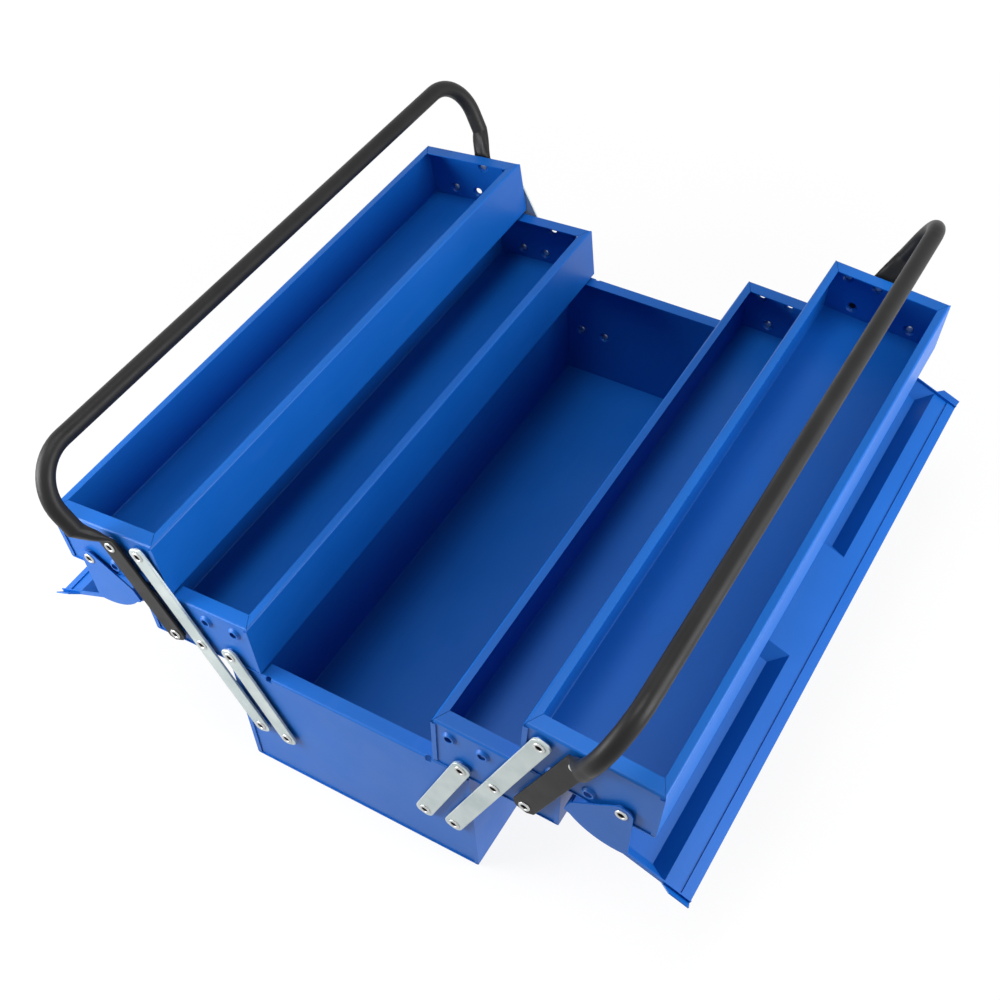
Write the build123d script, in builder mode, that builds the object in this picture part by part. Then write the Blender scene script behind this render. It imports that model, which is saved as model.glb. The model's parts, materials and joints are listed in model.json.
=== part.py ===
from build123d import *
import os
from math import acos, atan2, cos, degrees, radians, sin, tan

os.makedirs("parts", exist_ok=True)

# Cantilever toolbox folded from steel sheet, standing open. Millimetres, +Z up, +X along the box,
# origin on the ground under the middle of the box. The left side (+Y) is modelled and the right side
# mirrors it; the front end is at -X. A cross section has its first axis outward and its second upward.

# Sheet and folds
sheet = 1.0
fold_radius = 2.0
fit_gap = 0.05  # round a rivet, and beside a panel that is welded in place

# Bottom box
box_length = 550.0
box_width = 220.0
box_height = 130.0
relief_radius = 2.6
relief_out = 74.0

# Trays
tray_height = 54.0
tray_inset = 3.25  # shut tray's wall inside the box's wall
centre_gap = 1.5  # between the two sides when they are shut
stack_gap = 0.5  # shut floor above the rim under it
stop_gap = 1.0  # open floor above the rim that it comes down over
middle_tilt = 3.2  # open middle tray, outer edge down

# Rims and corners of the box and the trays
rim_width = 7.5
end_flange = 13.0
corner_return = 4.0
return_drop = 3.0
seam_gap = 0.4
mitre_overrun = 0.2  # of the mitre's length, past the inner edge of the rim

# Pivots: distance in from a tray's inner wall, and height above its floor
base_pin_out = 93.2  # long link's pivot in the box, from the middle of the box
short_pin_in = 25.5
long_pin_in = 53.8
low_row = 11.0
high_row_drop = 12.5  # below the tray's rim
outer_pin_edge = 26.0  # handle's pivot on a middle tray, lid's on an upper tray, from the outer wall

# Rivets and the pressed dimples that they pass through
rivet_radius = 3.2
rivet_wall = 0.5
cup_depth = 2.2
head_overhang = 0.4
head_height = 1.3
collar_overhang = 1.7
collar_height = 1.0
turn_gap = 0.08  # radial, where a piece turns on a rivet
loose_gap = 0.45  # radial, at the pivot that closes a loop of links
axial_play = 0.1
dimple_height = 2.2
dimple_taper = 38.0
dimple_room = 0.2  # radial, round a rivet's head

# Links
link_width = 15.5
link_thickness = 2.0
link_end = 7.5
link_corner = 6.0
link_edge = 0.4

# Handles
tube_diameter = 14.7
flat_width = 19.5
flat_thickness = 3.0
flat_end = 6.5
flat_top_end = 6.0  # past the upper pivot
flat_corner = 5.0
flat_round = 1.2
neck_length = 24.0
neck_rise = 16.5  # tube's middle outside the flat's inner face, where the neck ends
neck_width = 17.6  # halfway up the neck
neck_thickness = 8.6
neck_lean = 34.0
neck_split = 40.0  # angle on the round tube where the flattened outline's corners run out
grip_gap = 1.0  # between the two grips when the box is shut
handle_spread = 6.0  # arm of the tube leaning out past the end of the box
handle_bend = 38.0

# Lids
lid_turn = 199.0  # from shut to open
lid_rest_gap = 0.3
hem_width = 8.3
hem_end = 1.5
skirt_gap = 1.5
skirt_depth = 14.0
lid_flange = 4.0
lip_length = 7.5  # sloping lip along the lid's end, between the lid's middle edge and the handle
lip_slope = 40.0
lip_taper = 7.0
lip_room = 1.5
ear_radius = 8.7
ear_reach = 25.2
slope_angle = 43.0
panel_rise = 10.0
panel_start = 22.0
panel_end = 1.0
panel_gap = 112.0  # between the two raised panels


# Cross-section geometry

def turned(u, v, angle):
    """Cross-section point after a turn outward and down."""
    return Vector(u, v).rotate(Axis.Z, -angle)


def leaning(length, angle):
    """Cross-section step along a bar that leans outward."""
    return turned(0, length, angle)


def lean_of(step):
    return degrees(atan2(step.X, step.Y))


def section_plane(point, tilt=0.0, x=0.0):
    """Plane across the box: outward and up, for something tilted outward and down."""
    outward = turned(1, 0, tilt)
    return Plane(origin=(x, point.X, point.Y), x_dir=(0, outward.X, outward.Y), z_dir=(1, 0, 0))


def plan_plane(point, tilt=0.0, height=0.0):
    """Plane seen from above: along the box and outward."""
    lifted = point + turned(0, height, tilt)
    upward = turned(0, 1, tilt)
    return Plane(origin=(0, lifted.X, lifted.Y), x_dir=(1, 0, 0), z_dir=(0, upward.X, upward.Y))


def side_plane(point, tilt=0.0):
    """Plane seen from the side: along the box and up."""
    inward = turned(-1, 0, tilt)
    return Plane(origin=(0, point.X, point.Y), x_dir=(1, 0, 0), z_dir=(0, inward.X, inward.Y))


# Layers outside an end panel
half_length = box_length / 2
panel_face = half_length - sheet
dimple_face = panel_face + dimple_height
pivot_face = dimple_face + axial_play
link_outer = pivot_face + link_thickness
flat_outer = pivot_face + flat_thickness
lid_end = pivot_face + sheet

# Rivets and dimples
cup_radius = rivet_radius - rivet_wall
head_radius = rivet_radius + head_overhang
collar_radius = rivet_radius + collar_overhang
hollow_radius = head_radius + dimple_room + dimple_height * tan(radians(dimple_taper))
dimple_radius = hollow_radius + sheet * tan(radians(45 - dimple_taper / 2))

# Linkage, shut: both trays level over the box
high_row = tray_height - high_row_drop
half_gap = centre_gap / 2
tray_width = box_width / 2 - half_gap - tray_inset
shut_middle = Vector(half_gap, box_height + stack_gap)
shut_upper = shut_middle + Vector(0, tray_height + stack_gap)
long_pin = Vector(long_pin_in, low_row)
short_pin = Vector(short_pin_in, low_row)
outer_pin_in = tray_width - outer_pin_edge
outer_pin = Vector(outer_pin_in, low_row)
long_pin_shut = shut_middle + long_pin
top_pin_in = 2 * long_pin_shut.X - base_pin_out - half_gap
top_pin = Vector(top_pin_in, high_row)
long_base = long_pin_shut * 2 - (shut_upper + top_pin)
link_half = (long_pin_shut - long_base).length
shut_lean = lean_of(long_pin_shut - long_base)

# Linkage, open: the middle tray's floor comes down over the box's rim
floor_normal = turned(0, 1, middle_tilt)
box_rim = Vector(box_width / 2, box_height)
pin_rise = (box_rim - long_base).dot(floor_normal) + low_row + stop_gap
open_lean = middle_tilt + degrees(acos(pin_rise / link_half))
long_mid = long_base + leaning(link_half, open_lean)
long_top = long_base + leaning(2 * link_half, open_lean)
open_middle = long_mid - turned(long_pin.X, long_pin.Y, middle_tilt)

# The upper tray tilts until its floor comes down over the middle tray's outer rim
tray_rim = open_middle + turned(tray_width, tray_height, middle_tilt)
rim_step = tray_rim - long_top
upper_tilt = lean_of(rim_step) - degrees(acos(-(high_row + stop_gap) / rim_step.length))
open_upper = long_top - turned(top_pin.X, top_pin.Y, upper_tilt)

# The short link's base is as far from its pin shut as open
short_shut = shut_middle + short_pin
short_top = open_middle + turned(short_pin.X, short_pin.Y, middle_tilt)
short_mean = (short_shut + short_top) / 2
short_step = short_top - short_shut
short_out = short_mean.X - short_step.Y * (long_base.Y - short_mean.Y) / short_step.X
short_base = Vector(short_out, long_base.Y)
short_length = (short_top - short_base).length
short_open_lean = lean_of(short_top - short_base)
short_shut_lean = lean_of(short_shut - short_base)

# So is the handle's upper pin from its lower one
handle_low_shut = shut_middle + outer_pin
handle_low = open_middle + turned(outer_pin.X, outer_pin.Y, middle_tilt)
step_shut = shut_upper - handle_low_shut
step_open = open_upper - handle_low
step_level = step_open.rotate(Axis.Z, upper_tilt)
step_change = (step_shut.length**2 - step_open.length**2) / 2
handle_high_in = (step_change - (step_level.Y - step_shut.Y) * high_row) / (step_level.X - step_shut.X)
handle_high_pin = Vector(handle_high_in, high_row)
handle_high = open_upper + turned(handle_high_pin.X, handle_high_pin.Y, upper_tilt)
handle_pins = (handle_high - handle_low).length
handle_lean = lean_of(handle_high - handle_low)
handle_shut_lean = lean_of(shut_upper + handle_high_pin - handle_low_shut)

# The grips meet over the middle of the shut box
grip_reach = (handle_low_shut.X - tube_diameter / 2 - grip_gap / 2) / sin(radians(-handle_shut_lean))

# Lid, measured from its pivot as if it were shut
lid_pivot = open_upper + turned(outer_pin.X, outer_pin.Y, upper_tilt)
lid_tilt = upper_tilt + lid_turn
lid_top = tray_height + lid_rest_gap + 2 * sheet - low_row
lid_centre = -outer_pin_in
lid_side = outer_pin_edge + skirt_gap + sheet


# Writing the pieces

def write(piece, name):
    piece.label = name
    export_step(piece, f"parts/{name}.step")


def write_both_sides(piece, name):
    write(piece, f"left_{name}")
    with BuildPart() as right:
        mirror(piece, about=Plane.XZ)
    write(right.part, f"right_{name}")


def write_both_ends(piece, name, writer):
    """Write a piece modelled at the rear end, and its copy at the front end."""
    writer(piece, f"{name}_rear")
    with BuildPart() as front:
        mirror(piece, about=Plane.YZ)
    writer(front.part, f"{name}_front")


# Box and trays

def trough(centre, tilt, width, height):
    """Folded sheet: floor, long walls, turned-in rims, and returns round the four corners."""
    edge = width / 2
    plan = plan_plane(centre, tilt, height)
    corner = Vector(half_length, edge)
    inner = Vector(half_length - sheet - end_flange, edge - rim_width)
    past = inner + (inner - corner) * mitre_overrun
    with BuildPart() as shell:
        with BuildSketch(section_plane(centre, tilt)):
            with BuildLine():
                fold = FilletPolyline(
                    (rim_width - edge, height),
                    (-edge, height),
                    (-edge, 0),
                    (edge, 0),
                    (edge, height),
                    (edge - rim_width, height),
                    radius=fold_radius,
                )
                offset(fold, amount=sheet, side=Side.LEFT)
            make_face()
        extrude(amount=half_length, both=True)
        with BuildSketch(plan):
            with BuildLine():
                Polyline(corner, past, (half_length, past.Y), close=True)
            make_face()
            mirror(about=Plane.XZ)
            mirror(about=Plane.YZ)
        extrude(amount=-fold_radius - fit_gap, mode=Mode.SUBTRACT)
        with BuildSketch(plan_plane(centre, tilt, fold_radius)):
            with GridLocations(box_length - sheet, width - corner_return, 2, 2):
                Rectangle(sheet, corner_return)
        extrude(amount=height - fold_radius - return_drop)
    return shell.part


def end_panel(centre, tilt, width, height, pins):
    """Rear panel between the long walls, with a mitred top flange and a dimple at each pivot hole."""
    edge = width / 2
    panel_half = edge - sheet - fit_gap
    corner = Vector(half_length, edge - seam_gap)
    inner = Vector(half_length - sheet - end_flange, edge - rim_width - seam_gap)
    past = inner + (inner - corner) * mitre_overrun
    plan = plan_plane(centre, tilt, height)
    hole_face = section_plane(centre, tilt, panel_face)
    with BuildPart() as panel:
        with BuildSketch(side_plane(centre, tilt)):
            with BuildLine():
                fold = FilletPolyline(
                    (panel_face, sheet),
                    (panel_face, height),
                    (panel_face - end_flange, height),
                    radius=fold_radius,
                )
                offset(fold, amount=sheet, side=Side.LEFT)
            make_face()
        extrude(amount=panel_half, both=True)
        upward = Axis((0, 0, 0), plan.z_dir)
        foot_edges = panel.edges().filter_by(Axis.X).group_by(upward)[0]
        chamfer(foot_edges, fold_radius - sheet)
        with BuildSketch(plan):
            with BuildLine():
                Polyline(corner, past, (past.X, edge), (half_length, edge), close=True)
            make_face()
            mirror(about=Plane.XZ)
        extrude(amount=-fold_radius - fit_gap, mode=Mode.SUBTRACT)
        with BuildSketch(hole_face):
            with Locations(*pins):
                Circle(dimple_radius)
        extrude(amount=dimple_height, taper=dimple_taper)
        with BuildSketch(hole_face.offset(-sheet)):
            with Locations(*pins):
                Circle(hollow_radius)
        extrude(amount=dimple_height, taper=dimple_taper, mode=Mode.SUBTRACT)
        with BuildSketch(hole_face):
            with Locations(*pins):
                Circle(rivet_radius + fit_gap)
        extrude(amount=2 * dimple_height, both=True, mode=Mode.SUBTRACT)
    return panel.part


def from_middle(pin):
    """Tray pin measured from the middle of the tray's floor."""
    return (pin.X - tray_width / 2, pin.Y)


middle_centre = open_middle + turned(tray_width / 2, 0, middle_tilt)
upper_centre = open_upper + turned(tray_width / 2, 0, upper_tilt)
tray_pins = [from_middle(pin) for pin in (short_pin, long_pin, outer_pin, top_pin, handle_high_pin)]
base_pins = [
    (side * pin.X, pin.Y)
    for pin in (long_base, short_base)
    for side in (1, -1)
]

box_shell = trough(Vector(0, 0), 0, box_width, box_height)
write(box_shell, "bottom_box_shell")
middle_shell = trough(middle_centre, middle_tilt, tray_width, tray_height)
write_both_sides(middle_shell, "middle_tray_shell")
upper_shell = trough(upper_centre, upper_tilt, tray_width, tray_height)
write_both_sides(upper_shell, "upper_tray_shell")

middle_end = end_panel(middle_centre, middle_tilt, tray_width, tray_height, tray_pins)
write_both_ends(middle_end, "middle_tray_end", write_both_sides)
upper_end = end_panel(upper_centre, upper_tilt, tray_width, tray_height, tray_pins)
write_both_ends(upper_end, "upper_tray_end", write_both_sides)

with BuildPart() as box_end:
    add(end_panel(Vector(0, 0), 0, box_width, box_height, base_pins))
    with BuildSketch(plan_plane(Vector(0, 0), 0, box_height)):
        with Locations((panel_face, relief_out), (panel_face, -relief_out)):
            Circle(relief_radius)
    extrude(amount=-2 * relief_radius, mode=Mode.SUBTRACT)
write_both_ends(box_end.part, "bottom_box_end", write)


# Links

def link(base, lean, length, holes):
    """Flat bar at the rear end: holes are pairs of distance along the bar and radius."""
    with BuildPart() as bar:
        with BuildSketch(section_plane(base, lean, pivot_face)):
            with Locations((0, length / 2)):
                RectangleRounded(link_width, length + 2 * link_end, link_corner)
        extrude(amount=link_thickness)
        chamfer(bar.faces().sort_by(Axis.X)[-1].edges(), link_edge)
        for along, radius in holes:
            with BuildSketch(section_plane(base, lean, pivot_face)):
                with Locations((0, along)):
                    Circle(radius)
            extrude(amount=link_thickness, mode=Mode.SUBTRACT)
    return bar.part


turn_radius = rivet_radius + turn_gap
loose_radius = rivet_radius + loose_gap
long_holes = [(0, turn_radius), (link_half, turn_radius), (2 * link_half, turn_radius)]
short_holes = [(0, turn_radius), (short_length, loose_radius)]
long_link = link(long_base, open_lean, 2 * link_half, long_holes)
write_both_ends(long_link, "long_link", write_both_sides)
short_link = link(short_base, short_open_lean, short_length, short_holes)
write_both_ends(short_link, "short_link", write_both_sides)


# Rivets

def rivets(places):
    """Rivets with rolled, cupped ends at both ends of the box: a pivot and the face that each holds."""
    inside = dimple_face - sheet
    with BuildPart() as group:
        for pivot, outer in places:
            seat = outer + axial_play
            tip = seat + collar_height
            with BuildSketch(side_plane(pivot)):
                with BuildLine():
                    Polyline(
                        (inside - head_height, 0),
                        (inside - head_height, head_radius / 2),
                        (inside, head_radius),
                        (inside, rivet_radius),
                        (seat, rivet_radius),
                        (seat, collar_radius),
                        (tip, (collar_radius + cup_radius) / 2),
                        (tip, cup_radius),
                        (tip - cup_depth, 0),
                        close=True,
                    )
                make_face()
            revolve(axis=Axis((0, pivot.X, pivot.Y), (1, 0, 0)))
        mirror(about=Plane.YZ)
    return group.part


with BuildPart() as base_rivets:
    add(rivets([(long_base, link_outer), (short_base, link_outer)]))
    mirror(about=Plane.XZ)
write(base_rivets.part, "base_rivets")

middle_rivets = rivets([(long_mid, link_outer), (short_top, link_outer), (handle_low, flat_outer)])
write_both_sides(middle_rivets, "middle_tray_rivets")
upper_rivets = rivets([(long_top, link_outer), (handle_high, flat_outer), (lid_pivot, lid_end)])
write_both_sides(upper_rivets, "upper_tray_rivets")


# Handle: a tube bent to a flat loop, both ends flattened

def flattened(width, thickness):
    """Outline of a flattened tube, in four edges like the round one."""
    half = (width - thickness) / 2
    with BuildLine() as outline:
        Line((half, thickness / 2), (-half, thickness / 2))
        ThreePointArc((-half, thickness / 2), (-width / 2, 0), (-half, -thickness / 2))
        Line((-half, -thickness / 2), (half, -thickness / 2))
        ThreePointArc((half, -thickness / 2), (width / 2, 0), (half, thickness / 2))
    return outline.line


def rounded(diameter, split):
    """Circle in four arcs that start and end beside the flattened outline's corners."""
    radius = diameter / 2
    side = radius * cos(radians(split))
    top = radius * sin(radians(split))
    with BuildLine() as outline:
        ThreePointArc((side, top), (0, radius), (-side, top))
        ThreePointArc((-side, top), (-radius, 0), (-side, -top))
        ThreePointArc((-side, -top), (0, -radius), (side, -top))
        ThreePointArc((side, -top), (radius, 0), (side, top))
    return outline.line


arm = side_plane(handle_low, handle_lean)
arm_lean = turned(0, 1, handle_lean)
flat_middle = pivot_face + flat_thickness / 2
flat_top = handle_pins + flat_top_end
tube_start = flat_top + neck_length
tube_x = pivot_face + neck_rise
corner_x = tube_x + (grip_reach - tube_start) * tan(radians(handle_spread))

with BuildPart() as handle:
    with BuildSketch(section_plane(handle_low, handle_lean, pivot_face)) as flat:
        with Locations((0, (flat_top - flat_end) / 2)):
            Rectangle(flat_width, flat_top + flat_end)
        chamfer(flat.vertices().group_by(Axis.Y)[0], flat_corner)
    extrude(amount=flat_thickness)
    long_edges = handle.edges().filter_by(Axis((0, 0, 0), (0, arm_lean.X, arm_lean.Y)))
    fillet(long_edges, flat_round)
    flat_frame = Plane(
        origin=arm.from_local_coords((flat_middle, flat_top, 0)),
        x_dir=arm.z_dir,
        z_dir=(0, arm_lean.X, arm_lean.Y),
    )
    with BuildLine(arm) as route:
        FilletPolyline(
            (tube_x, tube_start),
            (corner_x, grip_reach),
            (-corner_x, grip_reach),
            (-tube_x, tube_start),
            radius=handle_bend,
        )
    tube_frame = Plane(origin=route.line @ 0, x_dir=arm.z_dir, z_dir=route.line % 0)
    neck_frame = Plane(
        origin=arm.from_local_coords(((flat_middle + tube_x) / 2, (flat_top + tube_start) / 2, 0)),
        x_dir=arm.z_dir,
        z_dir=arm.x_dir * sin(radians(neck_lean)) + arm.y_dir * cos(radians(neck_lean)),
    )
    with BuildSketch(flat_frame):
        add(flattened(flat_width, flat_thickness))
        make_face()
    with BuildSketch(neck_frame):
        add(flattened(neck_width, neck_thickness))
        make_face()
    with BuildSketch(tube_frame):
        add(rounded(tube_diameter, neck_split))
        make_face()
    loft()
    mirror(about=Plane.YZ)
    with BuildSketch(tube_frame):
        Circle(tube_diameter / 2)
    sweep(path=route.line)
    with BuildSketch(section_plane(handle_low, handle_lean, pivot_face)):
        Circle(turn_radius)
        with Locations((0, handle_pins)):
            Circle(loose_radius)
    extrude(amount=flat_thickness, mode=Mode.SUBTRACT)
    with BuildSketch(section_plane(handle_low, handle_lean, -pivot_face)):
        Circle(turn_radius)
        with Locations((0, handle_pins)):
            Circle(loose_radius)
    extrude(amount=-flat_thickness, mode=Mode.SUBTRACT)
write_both_sides(handle.part, "handle")


# Lid: one pressed sheet, modelled in its shut position about its pivot and turned open. It is crowned
# round the pivot, so that it swings clear of the tray's outer rim.

slope_inset = sheet * tan(radians(slope_angle / 2))
raised_inner = lid_centre + panel_start
raised_outer = lid_side - fold_radius
raised_length = lid_end - panel_end - panel_gap / 2
rim_corner = Vector(outer_pin_edge - fold_radius, tray_height - low_row - fold_radius)
crown_inside = rim_corner.length + fold_radius + lid_rest_gap
crown_rise = max(crown_inside - (lid_top - sheet), sheet)
lid_section = section_plane(lid_pivot, lid_tilt)


def raised(height, inset, reach):
    """The crown and the two raised panels from the given height up, the panels' feet drawn in."""
    radius = height + crown_rise
    half = (radius**2 - height**2) ** 0.5
    width = raised_outer - raised_inner
    with BuildPart() as form:
        with BuildSketch(lid_section):
            with BuildLine():
                ThreePointArc((-half, height), (0, radius), (half, height))
                Line((half, height), (-half, height))
            make_face()
        extrude(amount=reach, both=True)
        with BuildSketch(plan_plane(lid_pivot, lid_tilt, height)):
            with Locations((panel_gap / 2 + raised_length / 2, raised_inner + width / 2)):
                Rectangle(raised_length - 2 * inset, width - 2 * inset)
        extrude(amount=panel_rise, taper=90 - slope_angle)
        mirror(about=Plane.YZ)
    return form.part


raised_outside = raised(lid_top, 0, lid_end)
raised_inside = raised(lid_top - sheet, slope_inset, pivot_face)
lip_over = lid_top + low_row - high_row
lip_reach = (
    handle_high_in
    - flat_width / 2 / cos(radians(handle_shut_lean))
    + lip_over * tan(radians(handle_shut_lean))
    - lip_room
)
lip_edge = plan_plane(lid_pivot, lid_tilt, lid_top)
lip_plane = Plane(
    origin=lip_edge.from_local_coords((lid_end, lid_centre, 0)),
    x_dir=lip_edge.y_dir,
    z_dir=-lip_edge.z_dir * cos(radians(lip_slope)) - lip_edge.x_dir * sin(radians(lip_slope)),
)
flange_foot = lid_top - lid_flange
skirt_foot = lid_top - skirt_depth

with BuildPart() as lid:
    with BuildSketch(lid_section):
        with BuildLine():
            fold = FilletPolyline(
                (lid_centre, lid_top),
                (lid_side, lid_top),
                (lid_side, skirt_foot),
                radius=fold_radius,
            )
            offset(fold, amount=sheet, side=Side.RIGHT)
        make_face()
    extrude(amount=lid_end, both=True)
    with BuildSketch(lid_section):
        with Locations((lid_centre + hem_width / 2, lid_top - 1.5 * sheet)):
            Rectangle(hem_width, sheet)
    extrude(amount=lid_end - hem_end, both=True)
    with BuildSketch(section_plane(lid_pivot, lid_tilt, pivot_face)):
        with BuildLine():
            FilletPolyline(
                (lid_centre, lid_top),
                (lid_side, lid_top),
                (lid_side, flange_foot),
                radius=fold_radius,
            )
            Polyline((lid_side, flange_foot), (lid_centre, flange_foot), (lid_centre, lid_top))
        make_face()
        with BuildSketch(mode=Mode.ADD):
            with BuildLine():
                Polyline((-ear_reach, flange_foot), (lid_side, flange_foot), (lid_side, skirt_foot))
                CenterArc((0, 0), ear_radius, 0, 360)
            make_hull()
        Circle(turn_radius, mode=Mode.SUBTRACT)
    extrude(amount=sheet)
    with BuildSketch(lip_plane):
        with BuildLine():
            Polyline(
                (0, 0),
                (lip_reach, 0),
                (lip_reach - lip_taper, lip_length),
                (0, lip_length),
                close=True,
            )
        make_face()
    extrude(amount=sheet)
    mirror(about=Plane.YZ)
    add(raised_outside)
    add(raised_inside, mode=Mode.SUBTRACT)
write_both_sides(lid.part, "lid")
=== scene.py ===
import json
from math import cos, pi, radians, sin

import bmesh
import bpy
from mathutils import Euler, Matrix, Vector

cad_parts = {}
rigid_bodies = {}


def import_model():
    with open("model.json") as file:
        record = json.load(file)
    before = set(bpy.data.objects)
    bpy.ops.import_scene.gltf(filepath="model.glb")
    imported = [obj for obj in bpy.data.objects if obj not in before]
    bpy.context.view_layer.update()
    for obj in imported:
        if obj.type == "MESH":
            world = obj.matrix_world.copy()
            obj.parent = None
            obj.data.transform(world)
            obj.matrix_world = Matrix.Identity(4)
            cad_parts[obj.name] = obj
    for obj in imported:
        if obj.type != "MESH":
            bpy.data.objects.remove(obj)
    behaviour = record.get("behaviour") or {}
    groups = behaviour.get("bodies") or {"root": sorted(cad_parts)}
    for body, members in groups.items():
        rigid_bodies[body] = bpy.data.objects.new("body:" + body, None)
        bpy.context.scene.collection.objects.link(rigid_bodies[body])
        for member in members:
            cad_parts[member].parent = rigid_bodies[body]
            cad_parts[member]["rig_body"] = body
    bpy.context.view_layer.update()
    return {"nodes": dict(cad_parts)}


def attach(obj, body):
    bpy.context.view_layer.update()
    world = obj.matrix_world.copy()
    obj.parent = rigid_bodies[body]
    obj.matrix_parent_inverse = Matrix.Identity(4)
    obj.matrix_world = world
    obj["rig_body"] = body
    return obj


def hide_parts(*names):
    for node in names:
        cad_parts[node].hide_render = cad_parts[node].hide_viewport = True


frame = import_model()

MM = 0.001
scene = bpy.context.scene
nodes = frame["nodes"]

# Colours
ENAMEL_DEEP = (0.003, 0.104, 0.44, 1)
ENAMEL_PALE = (0.005, 0.118, 0.48, 1)
ENAMEL_RUBBED = (0.08, 0.2, 0.62, 1)
ZINC_DULL = (0.42, 0.49, 0.49, 1)
ZINC_BRIGHT = (0.55, 0.61, 0.60, 1)
STEEL_DULL = (0.44, 0.45, 0.45, 1)
STEEL_BRIGHT = (0.60, 0.61, 0.60, 1)
# Painted shade: near-black colours for the inside of the rivet hollow
BORE_SHADE_DARK = (0.012, 0.012, 0.012, 1)
BORE_SHADE_PALE = (0.04, 0.038, 0.034, 1)
BLACK_DEEP = (0.010, 0.010, 0.0105, 1)
BLACK_PALE = (0.016, 0.016, 0.0165, 1)
FLOOR_PALE = (0.6, 0.6, 0.6, 1)
WHITE = (1, 1, 1, 1)

# Rivets, in millimetres
SHANK_RADIUS = 3.2
COLLAR_RADIUS = 4.9
COLLAR_HEIGHT = 1.0
CREST_RADIUS = 3.5
ROLL_DEPTH = 0.9
BORE_RADIUS = 2.65
BORE_DEPTH = 3.4
BORE_CORNER = 0.5
HEAD_RADIUS = 3.6
HEAD_HEIGHT = 1.3
SEGMENTS = 40
ROUND_STEPS = 6
MERGE_DISTANCE = 0.01

# Camera: lens in millimetres, place in metres, angles in degrees
LENS = 51.87
SENSOR_WIDTH = 36
NEAREST_SEEN = 0.05
CAMERA_PLACE = (-0.7207, -0.4500, 1.0437)
AZIMUTH = -56.46
ELEVATION = 47.67
ROLL = -4.02

# Floor and room: distances in metres from the middle of the object
FLOOR_REACH = 12
SHADOW_REACH = 0.5
WHITE_REACH = 1.6
WHITE_SHARE = 0.8
FLOOR_GLOW = 1.09
ROOM_LIGHT = 0.12


# Material helpers

def new_material(name):
    """A material, its node tree and its Principled shader."""
    material = bpy.data.materials.new(name)
    material.use_nodes = True
    tree = material.node_tree
    return material, tree, tree.nodes["Principled BSDF"]


def set_inputs(tree, node, inputs):
    """Give each input its value, or link it to another node's output."""
    for name, value in inputs.items():
        if isinstance(value, bpy.types.NodeSocket):
            tree.links.new(value, node.inputs[name])
        else:
            node.inputs[name].default_value = value


def add_node(tree, kind, inputs=None, **settings):
    node = tree.nodes.new(kind)
    for name, value in settings.items():
        setattr(node, name, value)
    set_inputs(tree, node, inputs or {})
    return node


def object_noise(tree, scale, detail=3.0, stretch=(1, 1, 1)):
    """Noise in the object's own metres, stretched along its axes."""
    place = add_node(tree, "ShaderNodeTexCoord").outputs["Object"]
    mapping = add_node(tree, "ShaderNodeMapping", {"Vector": place, "Scale": stretch})
    stretched = mapping.outputs["Vector"]
    noise = add_node(tree, "ShaderNodeTexNoise", {"Vector": stretched, "Scale": scale, "Detail": detail})
    return noise.outputs["Fac"]


def between(tree, value, low, high, start=0.3, end=0.7):
    """The value's stretch from start to end, mapped to low and high."""
    node = add_node(
        tree,
        "ShaderNodeMapRange",
        {"Value": value, "From Min": start, "From Max": end, "To Min": low, "To Max": high},
    )
    return node.outputs["Result"]


def mixed(tree, factor, first, second):
    """Colour from first to second as the factor goes from 0 to 1."""
    node = add_node(tree, "ShaderNodeMix", data_type="RGBA")
    sockets = {socket.identifier: socket for socket in node.inputs}
    tree.links.new(factor, sockets["Factor_Float"])
    for name, value in (("A_Color", first), ("B_Color", second)):
        if isinstance(value, bpy.types.NodeSocket):
            tree.links.new(value, sockets[name])
        else:
            sockets[name].default_value = value
    return next(socket for socket in node.outputs if socket.identifier == "Result_Color")


def clouded(tree, first, second, scale, detail):
    """Colour that drifts between two tones."""
    cloud = between(tree, object_noise(tree, scale, detail), low=0, high=1)
    return mixed(tree, cloud, first, second)


def grained(tree, scale, strength, distance):
    """Normal with a fine, even grain. The distance is in millimetres."""
    height = object_noise(tree, scale, detail=2)
    node = add_node(
        tree, "ShaderNodeBump", {"Height": height, "Strength": strength, "Distance": distance * MM}
    )
    return node.outputs["Normal"]


# Materials

def blue_enamel():
    """Satin stove enamel: slightly uneven colour, orange peel and faint rub marks."""
    material, tree, shader = new_material("blue_enamel")
    tone = clouded(tree, ENAMEL_DEEP, ENAMEL_PALE, scale=7, detail=4)
    marks = object_noise(tree, scale=90, detail=6, stretch=(0.12, 1, 1))
    rubbed = between(tree, marks, low=0, high=0.05, start=0.58, end=0.78)
    gloss = object_noise(tree, scale=30, detail=5)
    set_inputs(tree, shader, {
        "Base Color": mixed(tree, rubbed, tone, ENAMEL_RUBBED),
        "Roughness": between(tree, gloss, low=0.36, high=0.44),
        "Normal": grained(tree, scale=420, strength=0.10, distance=0.4),
        "Specular IOR Level": 0.26,
    })
    return material


def zinc_plate():
    """Pale zinc plating: cloudy passivation and fine streaks."""
    material, tree, shader = new_material("zinc_plate")
    streaks = object_noise(tree, scale=160, detail=4, stretch=(1, 0.3, 0.3))
    set_inputs(tree, shader, {
        "Base Color": clouded(tree, ZINC_DULL, ZINC_BRIGHT, scale=45, detail=5),
        "Metallic": 0.5,
        "Roughness": between(tree, streaks, low=0.34, high=0.5),
        "Normal": grained(tree, scale=900, strength=0.12, distance=0.2),
    })
    return material


def rivet_steel():
    """Rolled rivet rim, brighter than the bars, with uneven gloss."""
    material, tree, shader = new_material("rivet_steel")
    gloss = object_noise(tree, scale=700)
    set_inputs(tree, shader, {
        "Base Color": clouded(tree, STEEL_DULL, STEEL_BRIGHT, scale=300, detail=4),
        "Metallic": 0.9,
        "Roughness": between(tree, gloss, low=0.26, high=0.42),
    })
    return material


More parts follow.
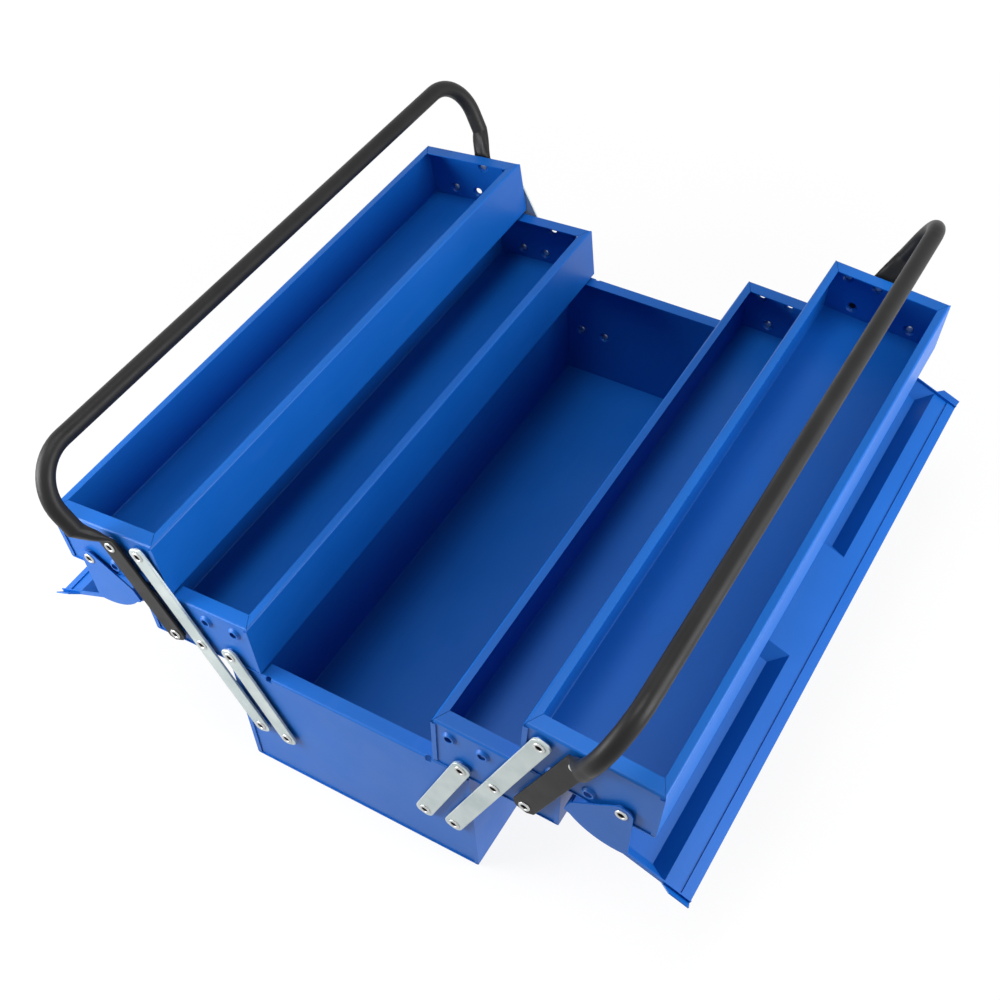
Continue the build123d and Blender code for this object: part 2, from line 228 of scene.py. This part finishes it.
def rivet_bore_shade():
    """Rivet hollow, painted near-black as the shade deep inside the hole."""
    material, tree, shader = new_material("rivet_bore_shade")
    gloss = object_noise(tree, scale=400)
    set_inputs(tree, shader, {
        "Base Color": clouded(tree, BORE_SHADE_DARK, BORE_SHADE_PALE, scale=500, detail=4),
        "Metallic": 0.6,
        "Roughness": between(tree, gloss, low=0.5, high=0.7),
    })
    return material


def black_coat():
    """Satin black coating with a fine grain and softly varying gloss."""
    material, tree, shader = new_material("black_coat")
    gloss = object_noise(tree, scale=60, detail=5)
    set_inputs(tree, shader, {
        "Base Color": clouded(tree, BLACK_DEEP, BLACK_PALE, scale=20, detail=5),
        "Roughness": between(tree, gloss, low=0.36, high=0.48),
        "Normal": grained(tree, scale=1100, strength=0.15, distance=0.3),
        "Specular IOR Level": 0.16,
    })
    return material


enamel = blue_enamel()
zinc = zinc_plate()
steel = rivet_steel()
shaded_bore = rivet_bore_shade()
black = black_coat()


def material_for(name):
    """Zinc on the links, black on the handles, enamel on the box, trays and lids."""
    if "link" in name:
        return zinc
    if "handle" in name:
        return black
    return enamel


for name, node in nodes.items():
    node.data.materials.clear()
    node.data.materials.append(material_for(name))


# Rivets: turned shanks with a rolled rim round a hollow painted near-black as shade, and a domed head inside
# the tray

def quarter_round(start, end):
    """Quarter of an ellipse that leaves its start along the rivet and meets its end across it."""
    points = []
    for i in range(ROUND_STEPS):
        angle = pi / 2 * i / ROUND_STEPS
        radius = end[0] + (start[0] - end[0]) * cos(angle)
        points.append((radius, start[1] + (end[1] - start[1]) * sin(angle)))
    return points + [end]


# Outlines as radius and depth below the tip, or for the head as radius and height above its end
bore_foot = quarter_round((BORE_RADIUS, BORE_DEPTH - BORE_CORNER), (BORE_RADIUS - BORE_CORNER, BORE_DEPTH))
hollow = [(0, BORE_DEPTH)] + bore_foot[::-1] + [(BORE_RADIUS, ROLL_DEPTH)]
inner_roll = quarter_round((BORE_RADIUS, ROLL_DEPTH), (CREST_RADIUS, 0))
outer_roll = quarter_round((COLLAR_RADIUS, COLLAR_HEIGHT), (CREST_RADIUS, 0))
rim = inner_roll[1:] + outer_roll[-2::-1] + [(SHANK_RADIUS, COLLAR_HEIGHT)]
head = [(SHANK_RADIUS, HEAD_HEIGHT)] + quarter_round((HEAD_RADIUS, HEAD_HEIGHT), (0, 0))


def islands(mesh):
    """Boxes of a mesh's separate solids."""
    work = bmesh.new()
    work.from_mesh(mesh)
    bmesh.ops.remove_doubles(work, verts=work.verts, dist=MERGE_DISTANCE * MM)
    left = set(work.verts)
    boxes = []
    while left:
        group = [left.pop()]
        for vertex in group:
            for edge in vertex.link_edges:
                other = edge.other_vert(vertex)
                if other in left:
                    left.remove(other)
                    group.append(other)
        low = Vector(min(v.co[i] for v in group) for i in range(3))
        high = Vector(max(v.co[i] for v in group) for i in range(3))
        boxes.append((low, high))
    work.free()
    return boxes


def turn_rivet(work, low, high):
    """Add one rivet to the mesh, between the ends of its CAD solid."""
    middle = (low + high) / 2
    side = 1 if middle.x > 0 else -1
    length = (high.x - low.x) / MM
    profile = hollow + rim + [(radius, length - up) for radius, up in head]
    tip = side * max(abs(low.x), abs(high.x))
    rings = []
    for radius, depth in profile:
        centre = Vector((tip - side * depth * MM, middle.y, middle.z))
        ring = []
        for i in range(SEGMENTS if radius else 1):
            angle = 2 * pi * i / SEGMENTS
            spoke = Vector((0, cos(angle), sin(angle))) * radius * MM
            ring.append(work.verts.new(centre + spoke))
        rings.append(ring)
    for k, (first, second) in enumerate(zip(rings, rings[1:])):
        for i in range(SEGMENTS):
            j = (i + 1) % SEGMENTS
            corners = [ring[n % len(ring)] for ring, n in ((first, i), (first, j), (second, j), (second, i))]
            face = work.faces.new(list(dict.fromkeys(corners)))
            face.smooth = True
            # Faces of the hollow take the second material, the painted shade of the hole
            face.material_index = 1 if k < len(hollow) - 1 else 0


def turned_rivets(name):
    """Piece that stands in for one node of CAD rivets."""
    work = bmesh.new()
    for low, high in islands(nodes[name].data):
        turn_rivet(work, low, high)
    bmesh.ops.recalc_face_normals(work, faces=work.faces)
    mesh = bpy.data.meshes.new(f"{name}_turned")
    work.to_mesh(mesh)
    work.free()
    mesh.materials.append(steel)
    mesh.materials.append(shaded_bore)
    piece = bpy.data.objects.new(f"{name}_turned", mesh)
    scene.collection.objects.link(piece)
    return piece


for name in sorted(nodes):
    if name.endswith("rivets"):
        piece = turned_rivets(name)
        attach(piece, nodes[name]["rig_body"])
        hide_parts(name)


# Camera at the photograph's place

camera_data = bpy.data.cameras.new("camera")
camera_data.lens = LENS
camera_data.sensor_width = SENSOR_WIDTH
camera_data.clip_start = NEAREST_SEEN
camera = bpy.data.objects.new("camera", camera_data)
scene.collection.objects.link(camera)
aim = Euler((pi / 2 - radians(ELEVATION), 0, radians(AZIMUTH))).to_matrix()
tilted = aim @ Matrix.Rotation(radians(ROLL), 3, "Z")
camera.matrix_world = Matrix.Translation(CAMERA_PLACE) @ tilted.to_4x4()
scene.camera = camera


# Floor, light and background

def shows_background(tree):
    """One for rays that show the background itself: to the camera, mirrored or through glass."""
    rays = add_node(tree, "ShaderNodeLightPath").outputs
    seen = rays["Is Camera Ray"]
    for kind in ("Is Glossy Ray", "Is Transmission Ray"):
        seen = add_node(tree, "ShaderNodeMath", {0: seen, 1: rays[kind]}, operation="MAXIMUM").outputs[0]
    return seen


def pale_floor():
    """White floor that keeps the object's shadow, and fades into the white background further out."""
    material, tree, shader = new_material("pale_floor")
    set_inputs(tree, shader, {"Base Color": FLOOR_PALE, "Roughness": 0.9, "Specular IOR Level": 0.1})
    place = add_node(tree, "ShaderNodeTexCoord").outputs["Object"]
    away = add_node(tree, "ShaderNodeVectorMath", {0: place}, operation="LENGTH").outputs["Value"]
    white = between(tree, away, low=WHITE_SHARE, high=1, start=SHADOW_REACH, end=WHITE_REACH)
    share = add_node(tree, "ShaderNodeMath", {0: shows_background(tree), 1: white}, operation="MULTIPLY")
    glow = add_node(tree, "ShaderNodeEmission", {"Color": WHITE, "Strength": FLOOR_GLOW})
    layers = {0: share.outputs[0], 1: shader.outputs[0], 2: glow.outputs[0]}
    mix = add_node(tree, "ShaderNodeMixShader", layers)
    tree.links.new(mix.outputs[0], tree.nodes["Material Output"].inputs["Surface"])
    return material


floor_mesh = bpy.data.meshes.new("floor")
corners = [(x * FLOOR_REACH, y * FLOOR_REACH, 0) for x, y in ((-1, -1), (1, -1), (1, 1), (-1, 1))]
floor_mesh.from_pydata(corners, [], [(0, 1, 2, 3)])
floor_mesh.materials.append(pale_floor())
floor = bpy.data.objects.new("floor", floor_mesh)
scene.collection.objects.link(floor)

world = bpy.data.worlds.new("studio")
scene.world = world
world.use_nodes = True
room = world.node_tree
strength = between(room, shows_background(room), low=ROOM_LIGHT, high=1, start=0, end=1)
set_inputs(room, room.nodes["Background"], {"Color": WHITE, "Strength": strength})


def softbox(name, place, target, size, power):
    """Square lamp aimed at a point: metres and watts."""
    light = bpy.data.lights.new(name, "AREA")
    light.shape = "SQUARE"
    light.size = size
    light.energy = power
    lamp = bpy.data.objects.new(name, light)
    lamp.location = place
    lamp.rotation_euler = (Vector(target) - Vector(place)).to_track_quat("-Z", "Y").to_euler()
    scene.collection.objects.link(lamp)


softbox("top", place=(-0.1, 0.1, 1.9), target=(0, 0, 0.15), size=0.9, power=16)
softbox("right", place=(0.2, -1.6, 0.7), target=(0, 0, 0.15), size=1.2, power=37)
softbox("left_front", place=(-0.65, 0.75, 0.45), target=(-0.25, 0.1, 0.15), size=0.6, power=13)

scene.view_settings.view_transform = "Standard"
